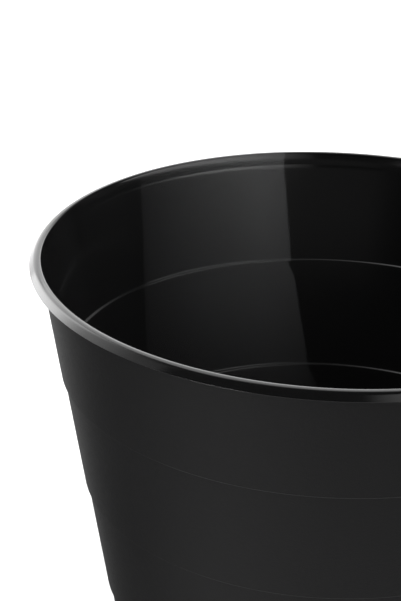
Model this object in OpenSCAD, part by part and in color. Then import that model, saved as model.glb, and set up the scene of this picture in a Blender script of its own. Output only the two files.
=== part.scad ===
// Florist bucket: a tapered, one-shot plastic moulding with an outward rim and shallow nesting ledges.
// Every node is one region of the moulding. Neighbouring regions meet face to face.
// The origin is the centre of the foot's underside, with +Z up along the bucket's axis.

/* [Bucket] */
// Overall height, from the foot to the crest of the rim
height = 222; // [205:1:240]
// Diameter over the rim
rim_d = 280; // [240:1:320]
// Thickness of the wall, measured level
wall_t = 1.3; // [1.1:0.1:2]
// Lean of the wall away from upright, in degrees
wall_lean = 9.9; // [8:0.1:11.5]

/* [Nesting ledges] */
// Distance from the crest of the rim to the first ledge, and from ledge to ledge
band_h = 55.6; // [50:0.1:60]
// How far the wall steps in at a ledge
ledge_step = 1.05; // [0.6:0.05:1.5]
// Height of the sloping face of a ledge
ledge_h = 1; // [0.6:0.1:2]

/* [Rim] */
// How far the rim stands out from the wall's outer face
rim_overhang = 4.55; // [4.3:0.05:6]
// Width of the outer half of the rim, from its crest to its edge
rim_fall_w = 4.3; // [4:0.1:4.8]
// Radius of the rounded crown
crown_r = 3.1; // [2.5:0.1:3.5]
// Tilt of the skirt's face from level, in degrees
skirt_tilt = 53; // [45:1:60]
// Thickness of the rim
rim_t = 1.5; // [1.2:0.1:1.8]
// How far the rim's inner edge stands outside the wall's inner face, both taken to the top
lip_set = 0.15; // [0:0.05:0.2]
// Radius of the rim's inner edge
lip_r = 1.3; // [0.4:0.1:1.3]
// Lean of the flared inner face just below the rim, in degrees
flare_lean = 12.6; // [12.4:0.1:14]

/* [Base] */
// Height of the foot ring, from the ground to the underside of the floor
foot_h = 3; // [2:0.1:5]
// Thickness of the foot ring
foot_t = 2.2; // [1.8:0.1:3]
// Radius on the foot ring's lower edges
foot_edge_r = 0.4; // [0.2:0.05:0.6]
// Thickness of the floor
floor_t = 1.8; // [1.4:0.1:2.5]
// Inside radius between the wall and the floor
corner_r = 5; // [3:0.5:8]
// Outer radius of the step round the raised centre of the floor
step_r = 64; // [30:1:66]
// Height and width of that step
step_rise = 1.2; // [0.6:0.1:1.8]
// Radius of the gate mark under the centre
gate_r = 2.5; // [1.5:0.5:5]
// Height of the gate mark
gate_h = 0.8; // [0.4:0.1:1.2]

/* [Hidden] */

BLACK = [0.035, 0.035, 0.038];
ROUND = 180;
ARC_STEPS = 10;

lean = tan(wall_lean);
rim_r = rim_d / 2;
wall_top_r = rim_r - rim_overhang;
crest_r = rim_r - rim_fall_w;

// The rim: the crown's arc is centred below the crest, and the skirt runs on straight from it.
crown_z = height - crown_r;
under_r = crown_r - rim_t;
skirt_a = 90 - skirt_tilt;
skirt_start = [crest_r + crown_r * cos(skirt_a), crown_z + crown_r * sin(skirt_a)];
skirt_under = [crest_r + under_r * cos(skirt_a), crown_z + under_r * sin(skirt_a)];
skirt_z = skirt_start[1] - (rim_r - skirt_start[0]) * tan(skirt_tilt);
skirt_under_r = skirt_under[0] + (skirt_under[1] - skirt_z) / tan(skirt_tilt);

// The inner edge of the rim, and the flare that runs down from it to the wall's inner face.
lip_c = [wall_top_r - wall_t + lip_set + lip_r, height - lip_r];
lip_tangent = [lip_c[0] - lip_r * cos(flare_lean), lip_c[1] + lip_r * sin(flare_lean)];
flare_drop = (lip_tangent[0] - wall_top_r + wall_t + (height - lip_tangent[1]) * tan(flare_lean))
    / (tan(flare_lean) - lean);
flare_z = height - flare_drop;
rim_under_z = height - rim_t;

// The base: the inside corner is an arc that is tangent to the leaning wall and to the floor.
floor_z = foot_h + floor_t;
corner_z = floor_z + corner_r;
corner_top_z = corner_z - corner_r * sin(wall_lean);
corner_c = inner_r(3, corner_top_z) - corner_r * cos(wall_lean);

// Radius of the wall's outer and inner face at height z, after k ledges from the top.
function outer_r(k, z) = wall_top_r - (height - z) * lean - k * ledge_step;
function inner_r(k, z) = outer_r(k, z) - wall_t;

// Height of the middle, top and bottom of ledge k, counted from 1 at the top.
function ledge_z(k) = height - k * band_h;
function ledge_top(k) = ledge_z(k) + ledge_h / 2;
function ledge_bottom(k) = ledge_z(k) - ledge_h / 2;

// Inner face of the flare at height z.
function flare_r(z) = lip_tangent[0] + (z - lip_tangent[1]) * tan(flare_lean);

// Points on an arc about c, from angle a0 to a1.
function arc(c, r, a0, a1) =
    [for (i = [0:ARC_STEPS]) let (a = a0 + (a1 - a0) * i / ARC_STEPS) c + r * [cos(a), sin(a)]];

module ring(profile) {
    color(BLACK) rotate_extrude($fn = ROUND) polygon(profile);
}

// One plain band of the wall, after k ledges, from height z0 up to z1.
module band(k, z0, z1) {
    ring([[inner_r(k, z0), z0], [outer_r(k, z0), z0], [outer_r(k, z1), z1], [inner_r(k, z1), z1]]);
}

// The sloping ring where the wall steps in at ledge k.
module ledge(k) {
    z0 = ledge_bottom(k);
    z1 = ledge_top(k);
    ring([[inner_r(k, z0), z0], [outer_r(k, z0), z0], [outer_r(k - 1, z1), z1], [inner_r(k - 1, z1), z1]]);
}

// The inner lip of the rim, rounded from its crest down into the flared mouth.
module rim_lip() {
    ring(concat([[crest_r, height], [crest_r, rim_under_z], [flare_r(rim_under_z), rim_under_z]],
        arc(lip_c, lip_r, 180 - flare_lean, 90)));
}

// The rounded outer shoulder of the rim.
module rim_crown() {
    ring(concat(arc([crest_r, crown_z], crown_r, 90, skirt_a), arc([crest_r, crown_z], under_r, skirt_a, 90)));
}

// The sloping skirt, down to the rim's outer edge.
module rim_skirt() {
    ring([skirt_start, [rim_r, skirt_z], [skirt_under_r, skirt_z], skirt_under]);
}

// The top of the wall, whose inner face flares out to the rim.
module mouth_flare() {
    ring([[inner_r(0, flare_z), flare_z], [outer_r(0, flare_z), flare_z],
        [outer_r(0, rim_under_z), rim_under_z], [flare_r(rim_under_z), rim_under_z]]);
}

module top_wall() {
    band(0, ledge_top(1), flare_z);
}

module top_ledge() {
    ledge(1);
}

module upper_wall() {
    band(1, ledge_top(2), ledge_bottom(1));
}

module middle_ledge() {
    ledge(2);
}

module lower_wall() {
    band(2, ledge_top(3), ledge_bottom(2));
}

module bottom_ledge() {
    ledge(3);
}

module base_wall() {
    band(3, corner_top_z, ledge_bottom(3));
}

// The bottom of the wall, with the inside radius that turns into the floor.
module base_corner() {
    ring(concat([[corner_c, foot_h], [outer_r(3, foot_h), foot_h], [outer_r(3, corner_top_z), corner_top_z]],
        arc([corner_c, corner_z], corner_r, -wall_lean, -90)));
}

// The ring that the bucket stands on.
module foot_ring() {
    r0 = outer_r(3, 0) - foot_t;
    r1 = outer_r(3, foot_edge_r);
    ring(concat([[r0, foot_h]], arc([r0 + foot_edge_r, foot_edge_r], foot_edge_r, 180, 270),
        arc([r1 - foot_edge_r, foot_edge_r], foot_edge_r, 270, 360), [[outer_r(3, foot_h), foot_h]]));
}

// The flat outer part of the floor.
module floor_panel() {
    ring([[step_r, foot_h], [corner_c, foot_h], [corner_c, floor_z], [step_r, floor_z]]);
}

// The sloping ring that lifts the centre of the floor.
module floor_step() {
    r = step_r - step_rise;
    ring([[r, foot_h + step_rise], [step_r, foot_h], [step_r, floor_z], [r, floor_z + step_rise]]);
}

module centre_panel() {
    color(BLACK) translate([0, 0, foot_h + step_rise]) cylinder(h = floor_t, r = step_r - step_rise, $fn = ROUND);
}

// The stub left under the centre where the plastic entered the mould.
module gate_mark() {
    z = foot_h + step_rise - gate_h;
    color(BLACK) translate([0, 0, z]) cylinder(h = gate_h, r = gate_r, $fn = ROUND);
}

rim_lip();
rim_crown();
rim_skirt();
mouth_flare();
top_wall();
top_ledge();
upper_wall();
middle_ledge();
lower_wall();
bottom_ledge();
base_wall();
base_corner();
foot_ring();
floor_panel();
floor_step();
centre_panel();
gate_mark();
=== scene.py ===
"""Florist bucket: a tapered black plastic moulding with an outward rim and shallow nesting ledges."""

import math

import bpy
from bpy.props import FloatProperty, FloatVectorProperty, IntProperty, PointerProperty
from bpy.types import Operator, Panel, PropertyGroup
from mathutils import Matrix, Vector


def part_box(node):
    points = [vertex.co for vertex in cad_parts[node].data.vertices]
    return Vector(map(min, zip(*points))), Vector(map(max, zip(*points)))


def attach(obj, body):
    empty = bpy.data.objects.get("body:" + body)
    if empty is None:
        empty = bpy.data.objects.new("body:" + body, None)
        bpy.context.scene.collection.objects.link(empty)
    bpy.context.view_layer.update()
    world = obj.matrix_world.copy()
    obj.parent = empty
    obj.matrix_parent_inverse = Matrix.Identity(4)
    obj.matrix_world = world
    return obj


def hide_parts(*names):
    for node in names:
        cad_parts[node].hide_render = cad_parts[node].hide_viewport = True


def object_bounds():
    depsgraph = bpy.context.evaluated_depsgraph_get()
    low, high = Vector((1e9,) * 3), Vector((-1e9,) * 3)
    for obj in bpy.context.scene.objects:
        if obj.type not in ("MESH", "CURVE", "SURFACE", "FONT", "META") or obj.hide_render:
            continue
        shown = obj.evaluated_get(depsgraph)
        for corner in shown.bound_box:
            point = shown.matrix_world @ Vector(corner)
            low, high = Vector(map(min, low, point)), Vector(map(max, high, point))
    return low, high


bl_info = {
    "name": "Florist Bucket",
    "version": (1, 0, 0),
    "blender": (4, 5, 0),
    "location": "3D View > Sidebar > Bucket",
    "description": "Builds a moulded plastic florist bucket, region by region, and its studio",
    "category": "Object",
}

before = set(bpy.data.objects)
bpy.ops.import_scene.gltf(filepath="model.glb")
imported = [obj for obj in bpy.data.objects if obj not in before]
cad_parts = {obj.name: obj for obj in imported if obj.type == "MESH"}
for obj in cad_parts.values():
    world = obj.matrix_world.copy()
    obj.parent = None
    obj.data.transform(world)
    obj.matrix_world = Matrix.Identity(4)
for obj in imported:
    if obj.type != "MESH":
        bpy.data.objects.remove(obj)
CAD_LOW, CAD_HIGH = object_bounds()

BODY = "root"
MM = 0.001
TURN_STEPS = 288

# The finishes that a stretch of a section can have.
OUTSIDE = 0
INSIDE = 1


# ---------------------------------------------------------------- node graphs


class Wire:
    """A socket's value in a node graph. Arithmetic on it adds Math nodes."""

    def __init__(self, graph, socket):
        self.graph = graph
        self.socket = socket

    def math(self, operation, first, second=0.0):
        return self.graph.add("ShaderNodeMath", {"operation": operation}, {0: first, 1: second})

    def __add__(self, other):
        return self.math("ADD", self, other)

    def __radd__(self, other):
        return self.math("ADD", other, self)

    def __sub__(self, other):
        return self.math("SUBTRACT", self, other)

    def __rsub__(self, other):
        return self.math("SUBTRACT", other, self)

    def __mul__(self, other):
        return self.math("MULTIPLY", self, other)

    def __rmul__(self, other):
        return self.math("MULTIPLY", other, self)

    def __truediv__(self, other):
        return self.math("DIVIDE", self, other)

    def __pow__(self, other):
        return self.math("POWER", self, other)

    def floor(self):
        return self.math("FLOOR", self)

    def above(self, other):
        """1 where this wire is greater than the other, and 0 elsewhere."""
        return self.math("GREATER_THAN", self, other)

    def cosine(self):
        return self.math("COSINE", self)

    def sine(self):
        return self.math("SINE", self)


class Graph:
    """Adds nodes to a shader or geometry tree and joins them up."""

    def __init__(self, tree):
        self.tree = tree
        self.tree.nodes.clear()

    def add(self, kind, settings=None, sockets=None, output=0):
        """Adds one node. Settings are set first, then each socket gets a value or a link."""
        node = self.tree.nodes.new(kind)
        for name, value in (settings or {}).items():
            if name == "stops":
                set_stops(node.color_ramp, value)
            else:
                setattr(node, name, value)
        for name, value in (sockets or {}).items():
            if isinstance(value, Wire):
                self.tree.links.new(value.socket, node.inputs[name])
            else:
                node.inputs[name].default_value = value
        if not node.outputs:
            return None
        return Wire(self, node.outputs[output])

    def ramp(self, wire, start, end):
        """0 where a wire is at start, 1 where it is at end, and smooth between them."""
        settings = {"interpolation_type": "SMOOTHSTEP"}
        return self.add("ShaderNodeMapRange", settings, {"Value": wire, "From Min": start, "From Max": end})

    def other(self, wire, output):
        """Another output of the node that a wire comes from."""
        return Wire(self, wire.socket.node.outputs[output])


def set_stops(ramp, stops):
    """Gives a colour ramp its stops, as (position, grey) pairs."""
    while len(ramp.elements) > 1:
        ramp.elements.remove(ramp.elements[-1])
    for i, (position, grey) in enumerate(stops):
        stop = ramp.elements[0] if i == 0 else ramp.elements.new(position)
        stop.position = position
        stop.color = (grey, grey, grey, 1.0)


# ---------------------------------------------------------------- settings


class BucketShape(PropertyGroup):
    """Sizes that the frame's boxes don't give."""

    wall: FloatProperty(
        name="Wall",
        description="Thickness of the wall, measured level",
        default=1.3 * MM,
        unit="LENGTH",
    )
    rim: FloatProperty(
        name="Rim thickness",
        description="Thickness of the crown and the skirt",
        default=1.5 * MM,
        unit="LENGTH",
    )
    lip_radius: FloatProperty(
        name="Lip radius",
        description="Radius of the rim's inner edge",
        default=1.3 * MM,
        unit="LENGTH",
    )
    lip_set: FloatProperty(
        name="Lip set",
        description="How far the rim's inner edge stands outside the wall's inner face",
        default=0.15 * MM,
        unit="LENGTH",
    )
    bend: FloatProperty(
        name="Mouth bend",
        description="Height of the corner that is rounded between the wall and the flared mouth",
        default=1.1 * MM,
        unit="LENGTH",
    )
    mark_drop: FloatProperty(
        name="Mould mark drop",
        description="Depth below the crest of the mark where the mould's rim ring meets its core",
        default=5.4 * MM,
        unit="LENGTH",
    )
    mark: FloatProperty(
        name="Mould mark",
        description="Height of that mark, a narrow upright face",
        default=0.4 * MM,
        unit="LENGTH",
    )
    ledge_even: FloatProperty(
        name="Ledge evenness",
        description="Share of a nesting ledge's step that is a plain slope. The rest is an S-curve",
        default=0.3,
        min=0.0,
        max=1.0,
        subtype="FACTOR",
    )
    edge_radius: FloatProperty(
        name="Edge radius",
        description="Radius on the skirt's lower edge and on the gate mark",
        default=0.12 * MM,
        unit="LENGTH",
    )
    foot_width: FloatProperty(
        name="Foot width",
        description="Width of the ring that the bucket stands on",
        default=2.2 * MM,
        unit="LENGTH",
    )
    foot_radius: FloatProperty(
        name="Foot edge radius",
        description="Radius on the foot ring's lower edges",
        default=0.4 * MM,
        unit="LENGTH",
    )
    arc_steps: IntProperty(
        name="Arc steps",
        description="Steps along each rounded stretch of a section",
        default=16,
        min=4,
        max=48,
    )
    turn_steps: IntProperty(
        name="Turn steps",
        description="Steps in one full turn about the axis",
        default=TURN_STEPS,
        min=64,
        max=720,
    )


class BucketFinish(PropertyGroup):
    """Colours and surface detail of the black plastic."""

    outside: FloatVectorProperty(
        name="Outside colour",
        description="Colour of the grained outside",
        subtype="COLOR",
        default=(0.0052, 0.0052, 0.0054),
        min=0.0,
        max=1.0,
    )
    inside: FloatVectorProperty(
        name="Inside colour",
        description="Colour of the polished inside",
        subtype="COLOR",
        default=(0.0058, 0.0058, 0.0059),
        min=0.0,
        max=1.0,
    )
    rim: FloatVectorProperty(
        name="Rim colour",
        description="Colour of the polished rim",
        subtype="COLOR",
        default=(0.0035, 0.0035, 0.0036),
        min=0.0,
        max=1.0,
    )
    grain: FloatProperty(
        name="Grain",
        description="Size of the spark-eroded grain",
        default=0.6 * MM,
        unit="LENGTH",
    )
    ripple: FloatProperty(
        name="Ripple",
        description="Length of the faint waves in the polished faces",
        default=14 * MM,
        unit="LENGTH",
    )


class BucketStudio(PropertyGroup):
    """Camera, floor and lights."""

    lens: FloatProperty(
        name="Lens",
        description="Focal length, for the long side of the picture on a 36 mm sensor",
        default=119.8,
        unit="CAMERA",
    )
    distance: FloatProperty(
        name="Distance",
        description="Level distance from the bucket's axis to the camera",
        default=0.8435,
        unit="LENGTH",
    )
    rise: FloatProperty(
        name="Rise",
        description="Height of the camera above the rim",
        default=0.3575,
        unit="LENGTH",
    )
    pan: FloatProperty(
        name="Pan",
        description="How far the camera turns away from the bucket's axis",
        default=-0.0729,
        unit="ROTATION",
    )
    tilt: FloatProperty(
        name="Tilt",
        description="How far the camera looks down",
        default=0.4263,
        unit="ROTATION",
    )
    roll: FloatProperty(
        name="Roll",
        description="How far the camera leans about its own axis",
        default=0.0230,
        unit="ROTATION",
    )
    floor: FloatVectorProperty(
        name="Floor colour",
        description="Colour of the studio floor",
        subtype="COLOR",
        default=(0.86, 0.86, 0.86),
        min=0.0,
        max=1.0,
    )


# ---------------------------------------------------------------- sections


# Steps along the smallest arcs: the mouth's bend and the gate mark's edge.
BEND_STEPS = 6


class Section:
    """An outline in radius and height, walked with the material on its left.

    It is closed, or else starts and ends on the axis.
    """

    def __init__(self):
        self.points = []
        self.finishes = []

    def run(self, points, finish=OUTSIDE):
        """Adds a run of corners. The finish lies between them, and the stretch after them is outside."""
        self.points.extend(points)
        self.finishes.extend([finish] * (len(points) - 1) + [OUTSIDE])

    def close(self):
        """Ends the outline on its first point."""
        self.points.append(self.points[0])
        self.finishes.append(self.finishes[0])


def on_circle(centre, radius, angle):
    """The point of a circle at an angle in radians, counted up from level."""
    return centre[0] + radius * math.cos(angle), centre[1] + radius * math.sin(angle)


def arc(centre, radius, start, end, steps):
    """The points of an arc about a centre, from one angle to another."""
    return [on_circle(centre, radius, start + (end - start) * i / steps) for i in range(steps + 1)]


def rounded(before, corner, after, radius, steps):
    """The points of an arc that rounds the corner between two straight stretches."""
    corner = Vector(corner)
    back = (Vector(before) - corner).normalized()
    on = (Vector(after) - corner).normalized()
    half = back.angle(on) / 2
    reach = radius / math.tan(half)
    centre = corner + (back + on).normalized() * radius / math.sin(half)
    start = corner + back * reach - centre
    end = corner + on * reach - centre
    first = math.atan2(start.y, start.x)
    return arc(centre, radius, first, first - start.angle_signed(end), steps)


def top_of(node):
    """A turned node's outer radius and its top height."""
    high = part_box(node)[1]
    return high.x, high.z


def foot_of(node):
    """A node's lowest height."""
    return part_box(node)[0].z


# ---------------------------------------------------------------- turning


FINISH = "finish"
INSIDE_FACES = "inside_faces"
WELD = 1e-6
SHARP_ANGLE = math.radians(28)


def turning_tree():
    """Geometry nodes that turn a section about the axis into a closed skin."""
    name = "Turned section"
    if name in bpy.data.node_groups:
        return bpy.data.node_groups[name]
    tree = bpy.data.node_groups.new(name, "GeometryNodeTree")
    sockets = tree.interface
    sockets.new_socket("Geometry", in_out="INPUT", socket_type="NodeSocketGeometry")
    steps = sockets.new_socket("Turn steps", in_out="INPUT", socket_type="NodeSocketInt")
    steps.default_value = TURN_STEPS
    weld = sockets.new_socket("Weld distance", in_out="INPUT", socket_type="NodeSocketFloat")
    weld.default_value = WELD
    for label in ("Outside finish", "Inside finish"):
        sockets.new_socket(label, in_out="INPUT", socket_type="NodeSocketMaterial")
    sockets.new_socket("Geometry", in_out="OUTPUT", socket_type="NodeSocketGeometry")

    graph = Graph(tree)
    section = graph.add("NodeGroupInput")
    turn_steps = graph.other(section, "Turn steps")
    count = graph.add("GeometryNodeAttributeDomainSize", {"component": "MESH"}, {"Geometry": section})
    grid = graph.add(
        "GeometryNodeMeshGrid",
        None,
        {"Size X": 1.0, "Size Y": 1.0, "Vertices X": turn_steps + 1, "Vertices Y": count},
    )
    index = graph.add("GeometryNodeInputIndex")
    column = ((index + 0.5) / count).floor()
    row = index - column * count
    place = graph.add("GeometryNodeInputPosition")
    profile = graph.add(
        "GeometryNodeSampleIndex",
        {"data_type": "FLOAT_VECTOR", "domain": "POINT"},
        {"Geometry": section, "Value": place, "Index": row},
    )
    radius = graph.add("ShaderNodeSeparateXYZ", None, {0: profile})
    height = graph.other(radius, "Z")
    angle = column * (2 * math.pi) / turn_steps
    spot = graph.add(
        "ShaderNodeCombineXYZ", None, {0: radius * angle.cosine(), 1: radius * angle.sine(), 2: height}
    )
    turned = graph.add("GeometryNodeSetPosition", None, {"Geometry": grid, "Position": spot})
    flag = graph.add("GeometryNodeInputNamedAttribute", {"data_type": "FLOAT"}, {"Name": FINISH})
    finish = graph.add(
        "GeometryNodeSampleIndex",
        {"data_type": "FLOAT", "domain": "POINT"},
        {"Geometry": section, "Value": flag, "Index": face_row(graph, row)},
    )
    marked = graph.add(
        "GeometryNodeStoreNamedAttribute",
        {"data_type": "BOOLEAN", "domain": "FACE"},
        {"Geometry": turned, "Name": INSIDE_FACES, "Value": finish.above(0.5)},
    )
    welded = graph.add(
        "GeometryNodeMergeByDistance",
        None,
        {"Geometry": marked, "Distance": graph.other(section, "Weld distance")},
    )
    smooth = graph.add("GeometryNodeSetShadeSmooth", None, {"Geometry": welded})
    real = graph.add("GeometryNodeRealizeInstances", None, {"Geometry": smooth})
    painted = graph.add(
        "GeometryNodeSetMaterial",
        None,
        {"Geometry": real, "Material": graph.other(section, "Outside finish")},
    )
    settings = {"data_type": "BOOLEAN"}
    inside = graph.add("GeometryNodeInputNamedAttribute", settings, {"Name": INSIDE_FACES})
    painted = graph.add(
        "GeometryNodeSetMaterial",
        None,
        {"Geometry": painted, "Selection": inside, "Material": graph.other(section, "Inside finish")},
    )
    graph.add("NodeGroupOutput", None, {"Geometry": painted})
    return tree


def face_row(graph, row):
    """The section's point that a face starts from: its corners' mean row, rounded down."""
    settings = {"domain": "POINT", "data_type": "FLOAT"}
    return graph.add("GeometryNodeFieldOnDomain", settings, {"Value": row}).floor()


def turn(name, section, outside, inside=None):
    """Turns a section about the bucket's axis and returns the finished piece."""
    shape = bpy.context.scene.bucket_shape
    mesh = bpy.data.meshes.new(name)
    mesh.from_pydata([(r, 0.0, z) for r, z in section.points], [], [])
    flags = mesh.attributes.new(FINISH, "FLOAT", "POINT")
    flags.data.foreach_set("value", [float(f) for f in section.finishes])
    piece = bpy.data.objects.new(name, mesh)
    bpy.context.scene.collection.objects.link(piece)
    tree = turning_tree()
    modifier = piece.modifiers.new("Turn", "NODES")
    modifier.node_group = tree
    values = {
        "Turn steps": shape.turn_steps,
        "Outside finish": outside,
        "Inside finish": inside or outside,
    }
    for item in tree.interface.items_tree:
        if item.in_out == "INPUT" and item.name in values:
            modifier[item.identifier] = values[item.name]
    depsgraph = bpy.context.evaluated_depsgraph_get()
    depsgraph.update()
    made = bpy.data.meshes.new_from_object(piece.evaluated_get(depsgraph), depsgraph=depsgraph)
    piece.modifiers.clear()
    piece.data = made
    made.name = name
    bpy.data.meshes.remove(mesh)
    # The section had no material of its own, which leaves an empty slot in front.
    made.materials.pop(index=0)
    made.attributes.remove(made.attributes[INSIDE_FACES])
    made.set_sharp_from_angle(angle=SHARP_ANGLE)
    return piece


def keep(piece, node):
    """Makes a piece ride on the bucket and stand for its CAD node."""
    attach(piece, BODY)
    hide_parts(node)


# ---------------------------------------------------------------- materials


# How much larger the coarse grain is than the fine one, and how deep each finish's relief is.
COARSE_GRAIN = 3.2
GRAIN_DEPTH = 0.12 * MM
RIPPLE_DEPTH = 0.02 * MM
SATIN_DEPTH = 0.03 * MM

# Sizes of the satin grain, of the dust in the gloss, and of the slow changes in tone.
SATIN_GRAIN = 0.7 * MM
DUST = 0.6 * MM
SATIN_HAZE = 25 * MM
HAZE = 30 * MM
CLOUD = 45 * MM
FLOOR_CLOUD = 400 * MM

POLISHED_ROUGHNESS = 0.10


def new_graph(name):
    """An empty material and the graph that builds it."""
    material = bpy.data.materials.new(name)
    material.use_nodes = True
    return material, Graph(material.node_tree)


def noise(graph, size, detail=2.0, roughness=0.5):
    """Noise on object coordinates, whose features are about as long as size, in metres."""
    at = graph.other(graph.add("ShaderNodeTexCoord"), "Object")
    sockets = {"Vector": at, "Scale": 1.0 / size, "Detail": detail, "Roughness": roughness}
    return graph.add("ShaderNodeTexNoise", None, sockets)


def shade(graph, colour, amount):
    """A constant colour made lighter or darker by a wire around 1."""
    rgb = graph.add("ShaderNodeRGB")
    rgb.socket.default_value = (*colour, 1.0)
    grey = graph.add("ShaderNodeCombineXYZ", None, {0: amount, 1: amount, 2: amount})
    return graph.add("ShaderNodeVectorMath", {"operation": "MULTIPLY"}, {0: rgb, 1: grey})


def bump(graph, height, depth):
    """A surface's direction under relief of a depth, in metres."""
    return graph.add("ShaderNodeBump", None, {"Height": height, "Distance": depth, "Strength": 1.0})


def finish_shader(graph, sockets):
    """Ends a material's graph in a shader with these values."""
    surface = graph.add("ShaderNodeBsdfPrincipled", None, sockets)
    graph.add("ShaderNodeOutputMaterial", None, {"Surface": surface})


def grained_black():
    """The outside: black polypropylene with a fine spark-eroded grain."""
    finish = bpy.context.scene.bucket_finish
    material, graph = new_graph("grained_black_plastic")
    grain = noise(graph, finish.grain, detail=3.0, roughness=0.6)
    coarse = noise(graph, finish.grain * COARSE_GRAIN)
    cloud = noise(graph, CLOUD)
    finish_shader(
        graph,
        {
            "Base Color": shade(graph, finish.outside, 0.86 + 0.16 * grain + 0.12 * cloud),
            "Roughness": 0.40 + 0.10 * coarse + 0.06 * cloud,
            "Specular IOR Level": 0.15,
            "Normal": bump(graph, grain + 0.5 * coarse, GRAIN_DEPTH),
        },
    )
    return material


def polished(name, colour):
    """Black polypropylene from a polished mould face, with a faint haze and fainter waves."""
    finish = bpy.context.scene.bucket_finish
    material, graph = new_graph(name)
    wave = noise(graph, finish.ripple, detail=1.0, roughness=0.4)
    haze = noise(graph, HAZE, detail=3.0, roughness=0.55)
    dust = noise(graph, DUST)
    finish_shader(
        graph,
        {
            "Base Color": shade(graph, colour, 0.92 + 0.16 * haze),
            "Roughness": POLISHED_ROUGHNESS + 0.06 * haze + 0.02 * dust,
            "Specular IOR Level": 0.5,
            "Normal": bump(graph, wave, RIPPLE_DEPTH),
        },
    )
    return material


def inside_black():
    """The polished inside of the wall."""
    return polished("polished_black_inside", bpy.context.scene.bucket_finish.inside)


def rim_black():
    """The polished rim, a little darker than the inside."""
    return polished("polished_black_rim", bpy.context.scene.bucket_finish.rim)


def satin_black():
    """The floor and the foot: a duller mould face with faint marks from standing and stacking."""
    finish = bpy.context.scene.bucket_finish
    material, graph = new_graph("satin_black_plastic")
    grain = noise(graph, SATIN_GRAIN, detail=3.0, roughness=0.6)
    haze = noise(graph, SATIN_HAZE, detail=3.0, roughness=0.6)
    finish_shader(
        graph,
        {
            "Base Color": shade(graph, finish.outside, 0.85 + 0.3 * haze),
            "Roughness": 0.32 + 0.16 * haze,
            "Specular IOR Level": 0.5,
            "Normal": bump(graph, grain, SATIN_DEPTH),
        },
    )
    return material


def pale_floor():
    """A matt, pale studio floor."""
    studio = bpy.context.scene.bucket_studio
    material, graph = new_graph("pale_studio_floor")
    cloud = noise(graph, FLOOR_CLOUD)
    finish_shader(
        graph,
        {
            "Base Color": shade(graph, studio.floor, 0.99 + 0.02 * cloud),
            "Roughness": 0.8,
            "Specular IOR Level": 0.2,
        },
    )
    return material


MATERIALS = {}


def shared(make):
    """The material that a function makes, made once for all its pieces."""
    name = make.__name__
    if name not in MATERIALS:
        MATERIALS[name] = make()
    return MATERIALS[name]


# ---------------------------------------------------------------- the bucket


class BUCKET_OT_rim(Operator):
    """Builds the rim: its inner lip, its rounded crown and its sloping skirt"""

    bl_idname = "bucket.rim"
    bl_label = "Rim"

    def execute(self, context):
        shape = context.scene.bucket_shape
        steps = shape.arc_steps
        crest, top = top_of("rim_lip")
        edge, level = top_of("rim_skirt")
        low = foot_of("rim_skirt")
        tilt, crown_radius = self.crown_curve(crest, top, level)
        under = crown_radius - shape.rim
        centre = (crest, top - crown_radius)
        away = math.pi / 2 - tilt

        crown = Section()
        crown.run(arc(centre, under, math.pi / 2, away, steps))
        crown.run(arc(centre, crown_radius, away, math.pi / 2, steps))
        crown.close()

        flare = Flare()
        bottom = top - shape.rim
        lip = Section()
        lip.run([(flare.radius_at(bottom), bottom), (crest, bottom), (crest, top)])
        lip.run(arc(flare.lip, shape.lip_radius, math.pi / 2, math.pi - flare.lean, steps))
        lip.close()

        start = on_circle(centre, crown_radius, away)
        inner = on_circle(centre, under, away)
        inner_low = (inner[0] + (inner[1] - low) / math.tan(tilt), low)
        skirt = Section()
        skirt.run([start, inner])
        skirt.run(rounded(inner, inner_low, (edge, low), shape.edge_radius / 2, steps // 2))
        skirt.run(rounded(inner_low, (edge, low), start, shape.edge_radius, steps // 2))
        skirt.close()

        finish = shared(rim_black)
        keep(turn("lip_ring", lip, finish), "rim_lip")
        keep(turn("crown_ring", crown, finish), "rim_crown")
        keep(turn("skirt_ring", skirt, finish), "rim_skirt")
        return {"FINISHED"}

    def crown_curve(self, crest, top, level):
        """The crown's tilt at its lower end and its radius, from the level where the skirt takes over."""
        reach = top_of("rim_crown")[0] - crest
        tilt = 2 * math.atan2(top - level, reach)
        return tilt, reach / math.sin(tilt)


class Flare:
    """The inner face of the mouth: a bend out of the wall, then a straight rise to the lip.

    The rise is broken by the mould's mark, a low step that stands upright.
    """

    def __init__(self):
        shape = bpy.context.scene.bucket_shape
        outer_top, top = top_of("mouth_flare")
        outer_low, low = top_of("top_wall")
        slope = (outer_top - outer_low) / (top - low)
        crest = top_of("rim_lip")[1]
        self.mark = shape.mark
        self.mark_top = crest - shape.mark_drop
        self.foot = (outer_low - shape.wall, low)
        self.corner = (self.foot[0] + shape.bend * slope, low + shape.bend)
        edge = outer_top + (crest - top) * slope - shape.wall + shape.lip_set
        self.lip = (edge + shape.lip_radius, crest - shape.lip_radius)
        across = self.lip[0] - self.corner[0]
        up = self.lip[1] - self.corner[1] - self.mark
        self.lean = math.atan2(across, up) - math.asin(shape.lip_radius / math.hypot(across, up))

    def radius_at(self, height):
        """Inner radius at a height above the bend. It doesn't change along the mark."""
        run = height - self.corner[1]
        if height > self.mark_top:
            run -= self.mark
        elif height > self.mark_top - self.mark:
            run = self.mark_top - self.mark - self.corner[1]
        return self.corner[0] + run * math.tan(self.lean)

    def face(self, top):
        """Points down the inner face from a height to the wall."""
        radius = self.radius_at(self.mark_top)
        mark_low = (radius, self.mark_top - self.mark)
        across = self.corner[0] - self.foot[0]
        up = self.corner[1] - self.foot[1]
        half = (math.pi - self.lean + math.atan2(across, up)) / 2
        bend_radius = math.hypot(across, up) * math.tan(half)
        bend = rounded(mark_low, self.corner, self.foot, bend_radius, BEND_STEPS)
        return [(self.radius_at(top), top), (radius, self.mark_top), mark_low] + bend


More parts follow.
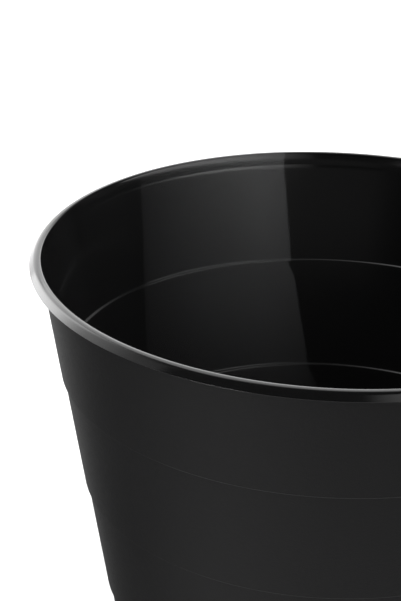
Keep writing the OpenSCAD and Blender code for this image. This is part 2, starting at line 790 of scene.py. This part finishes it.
def ledge_face(lower, low, upper, high, even, steps):
    """Points up a ledge's face. An even share of its step is a plain slope, and the rest an S."""
    step = upper - lower
    points = []
    for i in range(steps + 1):
        t = i / steps
        swing = t * t * (3 - 2 * t)
        points.append((lower + step * (even * t + (1 - even) * swing), low + (high - low) * t))
    return points


# Each wall band's CAD node, and the node that it ends on.
BANDS = {
    "band_top": ("top_wall", "top_ledge"),
    "band_upper": ("upper_wall", "middle_ledge"),
    "band_lower": ("lower_wall", "bottom_ledge"),
    "band_base": ("base_wall", "base_corner"),
}

# Each ledge, and the wall band below it.
LEDGES = {"top_ledge": "upper_wall", "middle_ledge": "lower_wall", "bottom_ledge": "base_wall"}


class BUCKET_OT_wall(Operator):
    """Builds the wall: the flared mouth and the bands between the ledges"""

    bl_idname = "bucket.wall"
    bl_label = "Wall bands"

    def execute(self, context):
        shape = context.scene.bucket_shape
        outside, inside = shared(grained_black), shared(inside_black)
        mouth_top = top_of("mouth_flare")
        mouth = Section()
        mouth.run([top_of("top_wall"), mouth_top])
        mouth.run(Flare().face(mouth_top[1]), INSIDE)
        mouth.close()
        keep(turn("flare_ring", mouth, outside, inside), "mouth_flare")

        for name, (node, below) in BANDS.items():
            upper, high = top_of(node)
            lower, low = top_of(below)
            band = Section()
            band.run([(lower, low), (upper, high)])
            band.run([(upper - shape.wall, high), (lower - shape.wall, low)], INSIDE)
            band.close()
            keep(turn(name, band, outside, inside), node)
        return {"FINISHED"}


class BUCKET_OT_ledges(Operator):
    """Builds the three nesting ledges"""

    bl_idname = "bucket.ledges"
    bl_label = "Nesting ledges"

    def execute(self, context):
        shape = context.scene.bucket_shape
        outside, inside = shared(grained_black), shared(inside_black)
        for node, wall in LEDGES.items():
            upper, high = top_of(node)
            lower, low = top_of(wall)
            face = ledge_face(lower, low, upper, high, shape.ledge_even, shape.arc_steps // 2)
            ring = Section()
            ring.run(face)
            ring.run([(radius - shape.wall, height) for radius, height in reversed(face)], INSIDE)
            ring.close()
            keep(turn(node + "_ring", ring, outside, inside), node)
        return {"FINISHED"}


# How far out the hollow in the gate mark's tip reaches, as a share of the mark's radius.
GATE_HOLLOW = 0.45


class BUCKET_OT_base(Operator):
    """Builds the base: the inside corner, the foot ring, the floor with its step and the gate mark"""

    bl_idname = "bucket.base"
    bl_label = "Base"

    def execute(self, context):
        shape = context.scene.bucket_shape
        satin = shared(satin_black)
        self.corner(shape)
        self.foot(shape)
        edge, floor_top = top_of("floor_panel")
        floor_low = foot_of("floor_panel")
        step, step_top = top_of("floor_step")
        centre, centre_top = top_of("centre_panel")
        centre_low = foot_of("centre_panel")

        panel = Section()
        panel.run([(step, floor_low), (edge, floor_low), (edge, floor_top), (step, floor_top)])
        panel.close()
        keep(turn("floor_outer", panel, satin), "floor_panel")

        jog = Section()
        jog.run([(centre, centre_low), (step, floor_low), (step, floor_top), (centre, step_top)])
        jog.close()
        keep(turn("floor_step_ring", jog, satin), "floor_step")

        raised = Section()
        raised.run([(0, centre_low), (centre, centre_low), (centre, centre_top), (0, centre_top)])
        keep(turn("floor_centre", raised, satin), "centre_panel")
        self.gate(shape)
        return {"FINISHED"}

    def corner(self, shape):
        """The turn from the wall into the floor, rounded on the inside."""
        outer_top, top = top_of("base_corner")
        outer_low, low = top_of("foot_ring")
        floor_edge, floor_top = top_of("floor_panel")
        lean = math.atan2(outer_top - outer_low, top - low)
        radius = (outer_top - shape.wall - floor_edge) / math.cos(lean)
        centre = (floor_edge, floor_top + radius)
        ring = Section()
        ring.run([(floor_edge, low), (outer_low, low), (outer_top, top)])
        ring.run(arc(centre, radius, -lean, -math.pi / 2, shape.arc_steps), INSIDE)
        ring.close()
        outside, inside = shared(grained_black), shared(inside_black)
        keep(turn("corner_ring", ring, outside, inside), "base_corner")

    def foot(self, shape):
        """The ring that the bucket stands on."""
        outer, top = top_of("foot_ring")
        wall, high = top_of("base_corner")
        low = foot_of("foot_ring")
        outer_low = outer - (top - low) * (wall - outer) / (high - top)
        inner = outer_low - shape.foot_width
        steps = shape.arc_steps // 2
        ring = Section()
        ring.run([(inner, top)])
        ring.run(rounded((inner, top), (inner, low), (outer_low, low), shape.foot_radius, steps))
        ring.run(rounded((inner, low), (outer_low, low), (outer, top), shape.foot_radius, steps))
        ring.run([(outer, top)])
        ring.close()
        keep(turn("foot", ring, shared(satin_black)), "foot_ring")

    def gate(self, shape):
        """The stub under the centre, a little hollow at its tip."""
        edge, top = top_of("gate_mark")
        low = foot_of("gate_mark")
        stub = Section()
        stub.run([(0, low + shape.edge_radius / 2), (edge * GATE_HOLLOW, low)])
        stub.run(rounded((0, low), (edge, low), (edge, top), shape.edge_radius, BEND_STEPS))
        stub.run([(edge, top), (0, top)])
        keep(turn("gate_stub", stub, shared(satin_black)), "gate_mark")


# ---------------------------------------------------------------- the studio


FLOOR_SIDE = 16.0

# The surround as the plastic sees it: a dim room, a bright backdrop, the ground, the ground straight
# below, and a better-lit patch of ground in front. Each has a glow. A pair of numbers gives the values
# of a direction's part, such as its rise, where that glow is nothing and where it is full.
ROOM_GLOW = 0.03
BACKDROP_GLOW = 3.0
BACKDROP_BACK = (0.35, 0.80)
BACKDROP_RIGHT = (0.75, 0.35)
BACKDROP_TOP = (0.80, 0.25)
BACKDROP_BOTTOM = (-0.68, -0.12)
GROUND_GLOW = 0.08
GROUND_RISE = (0.0, -0.10)
UNDERFOOT_GLOW = 2.0
UNDERFOOT_RISE = (-0.75, -0.92)
PATCH_GLOW = 0.42
PATCH_WAY = (-0.52, -0.44, -0.73)
PATCH_NEARNESS = (0.87, 0.97)

# The beams' way in plan and their fall, where the main one strikes, how far back their lamps stand, and
# the lamps' size and spread in degrees.
BEAM_TURN = math.radians(85)
BEAM_FALL = math.radians(38)
BEAM_AIM = (-0.062, 0.105, 0.165)
BEAM_THROW = 0.28
BEAM_SIZE = (0.12, 0.20)
BEAM_SPREAD = 0.3

# Places across and up a lamp run from 0 to 1. A left edge is given by its place across the lamp's foot
# and by how much further left it stands at the top.
SOFTBOX_LEFT_EDGE = (0.015, -0.09)

# The main beam: it dims with the square of the distance from its middle, and both beams dim down their
# lamps as a power of the height.
BEAM_POWER = 0.82
BEAM_LEFT_EDGE = (0.304, 0.158)
BEAM_MIDDLE = 0.58
BEAM_SIDE_DIMMING = 4.5
BEAM_DIMMING = 1.7

# The dim beam to its left: how many lamp widths its lamp is moved, and where it fades to nothing.
SIDE_BEAM_SHIFT = -0.70
SIDE_BEAM_POWER = 0.16
SIDE_BEAM_LEFT_EDGE = (0.1762, 0.31)
SIDE_BEAM_END = 0.25
SIDE_BEAM_FADE = 5.0

# The main beam's right edge, as a height up the lamp and a place across it. It has a kink wherever the
# light crosses a ledge.
BEAM_RIGHT_EDGE = [
    (0.27, 0.9575),
    (0.32, 0.908),
    (0.34, 0.905),
    (0.53, 0.826),
    (0.555, 0.797),
    (0.57, 0.8075),
    (0.78, 0.754),
]

# The long side of the camera's sensor, in millimetres.
SENSOR = 36.0


def area_light(name, spot, aim, size, power, spread=180.0, seen=True):
    """A rectangular light at a spot, facing a point. Its spread is in degrees."""
    light = bpy.data.lights.new(name, "AREA")
    light.shape = "RECTANGLE"
    light.size, light.size_y = size
    light.energy = power
    light.spread = math.radians(spread)
    lamp = bpy.data.objects.new(name, light)
    lamp.location = spot
    lamp.rotation_euler = (Vector(aim) - Vector(spot)).to_track_quat("-Z", "Y").to_euler()
    lamp.visible_camera = False
    lamp.visible_glossy = seen
    bpy.context.scene.collection.objects.link(lamp)
    return lamp


def softbox(name, azimuth, height, distance, size, radiance=1.0, aim=None, seen=True):
    """A softbox by its direction and level distance from the bucket. It stands upright unless aimed.

    The azimuth is in degrees from +X. A lamp that isn't seen makes no highlight on the plastic.
    """
    angle = math.radians(azimuth)
    spot = Vector((distance * math.cos(angle), distance * math.sin(angle), height))
    aim = aim or (0.0, 0.0, height)
    return area_light(name, spot, aim, size, math.pi * size[0] * size[1] * radiance, seen=seen)


def lamp_graph(lamp):
    """An empty graph for a light, and wires from 0 to 1 across it, left to right, and up it.

    Left and right are as the lamp looks at what it lights.
    """
    lamp.data.use_nodes = True
    graph = Graph(lamp.data.node_tree)
    place = graph.other(graph.add("ShaderNodeNewGeometry"), "Parametric")
    across = graph.add("ShaderNodeSeparateXYZ", None, {0: place})
    return graph, across, graph.other(across, "Y")


def past_edge(across, up, edge):
    """1 to the right of a left edge, and 0 elsewhere."""
    foot, lean = edge
    return across.above(foot - lean * up)


def emit(graph, strength):
    """Ends a light's graph in a glow of a strength."""
    emission = graph.add("ShaderNodeEmission", None, {"Strength": strength})
    graph.add("ShaderNodeOutputLight", None, {"Surface": emission})


class BUCKET_OT_studio(Operator):
    """Builds the pale floor, the soft lights and the camera"""

    bl_idname = "bucket.studio"
    bl_label = "Studio"

    def execute(self, context):
        self.floor(context)
        self.world(context)
        self.right_softbox()
        self.left_softbox()
        self.overhead_softbox()
        self.front_softbox()
        self.room_light()
        self.beam()
        self.side_beam()
        self.camera(context)
        return {"FINISHED"}

    def floor(self, context):
        """A pale sheet. The surround's glow stands in for it in the plastic's reflections."""
        half = FLOOR_SIDE / 2
        mesh = bpy.data.meshes.new("studio_floor")
        corners = [(-half, -half, 0), (half, -half, 0), (half, half, 0), (-half, half, 0)]
        mesh.from_pydata(corners, [], [(0, 1, 2, 3)])
        floor = bpy.data.objects.new("studio_floor", mesh)
        mesh.materials.append(shared(pale_floor))
        context.scene.collection.objects.link(floor)
        floor.visible_glossy = False

    def world(self, context):
        """A plain pale surround, which lights the bucket as a dim room with a bright backdrop."""
        world = bpy.data.worlds.new("studio_surround")
        world.use_nodes = True
        context.scene.world = world
        graph = Graph(world.node_tree)
        at = graph.other(graph.add("ShaderNodeTexCoord"), "Generated")
        right = graph.add("ShaderNodeSeparateXYZ", None, {0: at})
        back = graph.other(right, "Y")
        rise = graph.other(right, "Z")
        behind = graph.ramp(back, *BACKDROP_BACK) * graph.ramp(right, *BACKDROP_RIGHT)
        backdrop = behind * graph.ramp(rise, *BACKDROP_TOP) * graph.ramp(rise, *BACKDROP_BOTTOM)
        ground = graph.ramp(rise, *GROUND_RISE)
        underfoot = graph.ramp(rise, *UNDERFOOT_RISE)
        settings = {"operation": "DOT_PRODUCT"}
        nearness = graph.add("ShaderNodeVectorMath", settings, {0: at, 1: PATCH_WAY}, "Value")
        patch = graph.ramp(nearness, *PATCH_NEARNESS)
        glow = ROOM_GLOW + BACKDROP_GLOW * backdrop + GROUND_GLOW * ground
        glow = glow + UNDERFOOT_GLOW * underfoot + PATCH_GLOW * patch
        seen = graph.add("ShaderNodeLightPath")
        surface = graph.add("ShaderNodeBackground", None, {"Strength": glow * (1.0 - seen) + seen})
        graph.add("ShaderNodeOutputWorld", None, {"Surface": surface})

    def right_softbox(self):
        """Dimmer towards the side nearer the camera, where its edge leans away a little."""
        lamp = softbox("right_softbox", azimuth=-35.0, height=0.95, distance=1.1, size=(2.16, 1.4))
        graph, across, up = lamp_graph(lamp)
        level = 0.15 + 1.9 * graph.ramp(across, 0.0, 0.5)
        emit(graph, past_edge(across, up, SOFTBOX_LEFT_EDGE) * level)

    def left_softbox(self):
        """Brightest low down and a little beyond its middle, and dimmest towards the camera."""
        lamp = softbox("left_softbox", azimuth=170.0, height=1.20, distance=1.5, size=(2.26, 2.2))
        graph, across, up = lamp_graph(lamp)
        middle = graph.ramp(across, 0.0, 0.36) * graph.ramp(across, 0.56, 0.33)
        level = 0.6 + 1.4 * graph.ramp(across, 0.85, 0.50) + 4.2 * middle
        emit(graph, level * (0.1 + 0.9 * graph.ramp(up, 0.97, 0.3)))

    def overhead_softbox(self):
        """Hangs over the far side, and fades out towards the camera before it is straight above."""
        place = {"azimuth": 112.0, "height": 1.79, "distance": 0.845, "aim": (0.0, 0.0, 0.2)}
        lamp = softbox("overhead_softbox", size=(1.5, 2.6), **place)
        graph, _, up = lamp_graph(lamp)
        emit(graph, 0.03 + 2.37 * graph.ramp(up, 0.86, 0.60))

    def front_softbox(self):
        """A small lamp, low in front, for the sheen on the outside."""
        softbox("front_softbox", azimuth=-126.0, height=0.13, distance=1.2, size=(0.4, 0.24), radiance=22.0)

    def room_light(self):
        """A wide light overhead that keeps the floor pale all round, and makes no highlight."""
        place = {"azimuth": 90.0, "height": 3.6, "distance": 0.5, "aim": (0.0, 0.5, 0.0)}
        softbox("room_light", size=(10.0, 10.0), radiance=0.9, seen=False, **place)

    def beam(self):
        """A narrow beam through the mouth onto the far wall inside, with a sharp edge on each side."""
        graph, across, up = self.beam_lamp("mouth_beam", 0.0, BEAM_POWER)
        right_edge = graph.add("ShaderNodeValToRGB", {"stops": BEAM_RIGHT_EDGE}, {0: up})
        inside = past_edge(across, up, BEAM_LEFT_EDGE) * right_edge.above(across)
        off = across - BEAM_MIDDLE
        emit(graph, inside * (up ** BEAM_DIMMING) * (1.0 - BEAM_SIDE_DIMMING * off * off))

    def side_beam(self):
        """A far dimmer beam that carries the first one's light on past its left edge."""
        graph, across, up = self.beam_lamp("side_beam", SIDE_BEAM_SHIFT, SIDE_BEAM_POWER)
        # From here on the place across is the one on the main beam's lamp.
        across = across + SIDE_BEAM_SHIFT
        fade = (SIDE_BEAM_END - across) * SIDE_BEAM_FADE
        inside = past_edge(across, up, SIDE_BEAM_LEFT_EDGE) * (1.0 - past_edge(across, up, BEAM_LEFT_EDGE))
        emit(graph, inside * (up ** BEAM_DIMMING) * fade)

    def beam_lamp(self, name, shift, power):
        """A beam's lamp, moved across by a share of its width, with its graph and wires."""
        travel = Vector((math.cos(BEAM_TURN), math.sin(BEAM_TURN), -math.tan(BEAM_FALL))).normalized()
        side = Vector((travel.y, -travel.x, 0.0)).normalized() * BEAM_SIZE[0] * shift
        aim = Vector(BEAM_AIM) + side
        spot = aim - travel * BEAM_THROW
        return lamp_graph(area_light(name, spot, aim, BEAM_SIZE, power, spread=BEAM_SPREAD, seen=False))

    def camera(self, context):
        """Looks down on the bucket from in front, above its rim."""
        studio = context.scene.bucket_studio
        level = Vector((math.sin(studio.pan), math.cos(studio.pan), 0.0))
        right = Vector((math.cos(studio.pan), -math.sin(studio.pan), 0.0))
        ahead = level * math.cos(studio.tilt) - Vector((0.0, 0.0, math.sin(studio.tilt)))
        up = right.cross(ahead)
        leaned = right * math.cos(studio.roll) + up * math.sin(studio.roll)
        up = up * math.cos(studio.roll) - right * math.sin(studio.roll)
        turned = Matrix((leaned, up, -ahead)).transposed().to_4x4()
        data = bpy.data.cameras.new("studio_camera")
        data.sensor_fit = "AUTO"
        data.sensor_width = SENSOR
        data.lens = studio.lens
        data.clip_start = 0.01
        data.clip_end = 50.0
        camera = bpy.data.objects.new("studio_camera", data)
        camera.matrix_world = Matrix.Translation((0.0, -studio.distance, CAD_HIGH.z + studio.rise)) @ turned
        context.scene.collection.objects.link(camera)
        context.scene.camera = camera
        context.scene.view_settings.view_transform = "Standard"


class BUCKET_PT_panel(Panel):
    """Lists the bucket's settings and its builders"""

    bl_idname = "BUCKET_PT_panel"
    bl_label = "Florist Bucket"
    bl_space_type = "VIEW_3D"
    bl_region_type = "UI"
    bl_category = "Bucket"

    def draw(self, context):
        for group in (context.scene.bucket_shape, context.scene.bucket_finish, context.scene.bucket_studio):
            box = self.layout.box()
            for name in group.bl_rna.properties.keys():
                if name not in ("rna_type", "name"):
                    box.prop(group, name)
        for operator in OPERATORS:
            self.layout.operator(operator.bl_idname)


GROUPS = {"bucket_shape": BucketShape, "bucket_finish": BucketFinish, "bucket_studio": BucketStudio}
OPERATORS = (BUCKET_OT_rim, BUCKET_OT_wall, BUCKET_OT_ledges, BUCKET_OT_base, BUCKET_OT_studio)


def register():
    for name, group in GROUPS.items():
        bpy.utils.register_class(group)
        setattr(bpy.types.Scene, name, PointerProperty(type=group))
    for operator in OPERATORS:
        bpy.utils.register_class(operator)
    bpy.utils.register_class(BUCKET_PT_panel)


def unregister():
    bpy.utils.unregister_class(BUCKET_PT_panel)
    for operator in reversed(OPERATORS):
        bpy.utils.unregister_class(operator)
    for name, group in GROUPS.items():
        delattr(bpy.types.Scene, name)
        bpy.utils.unregister_class(group)


def main():
    """Builds the bucket and its studio."""
    register()
    bpy.ops.bucket.rim()
    bpy.ops.bucket.wall()
    bpy.ops.bucket.ledges()
    bpy.ops.bucket.base()
    bpy.ops.bucket.studio()


if __name__ == "__main__":
    main()
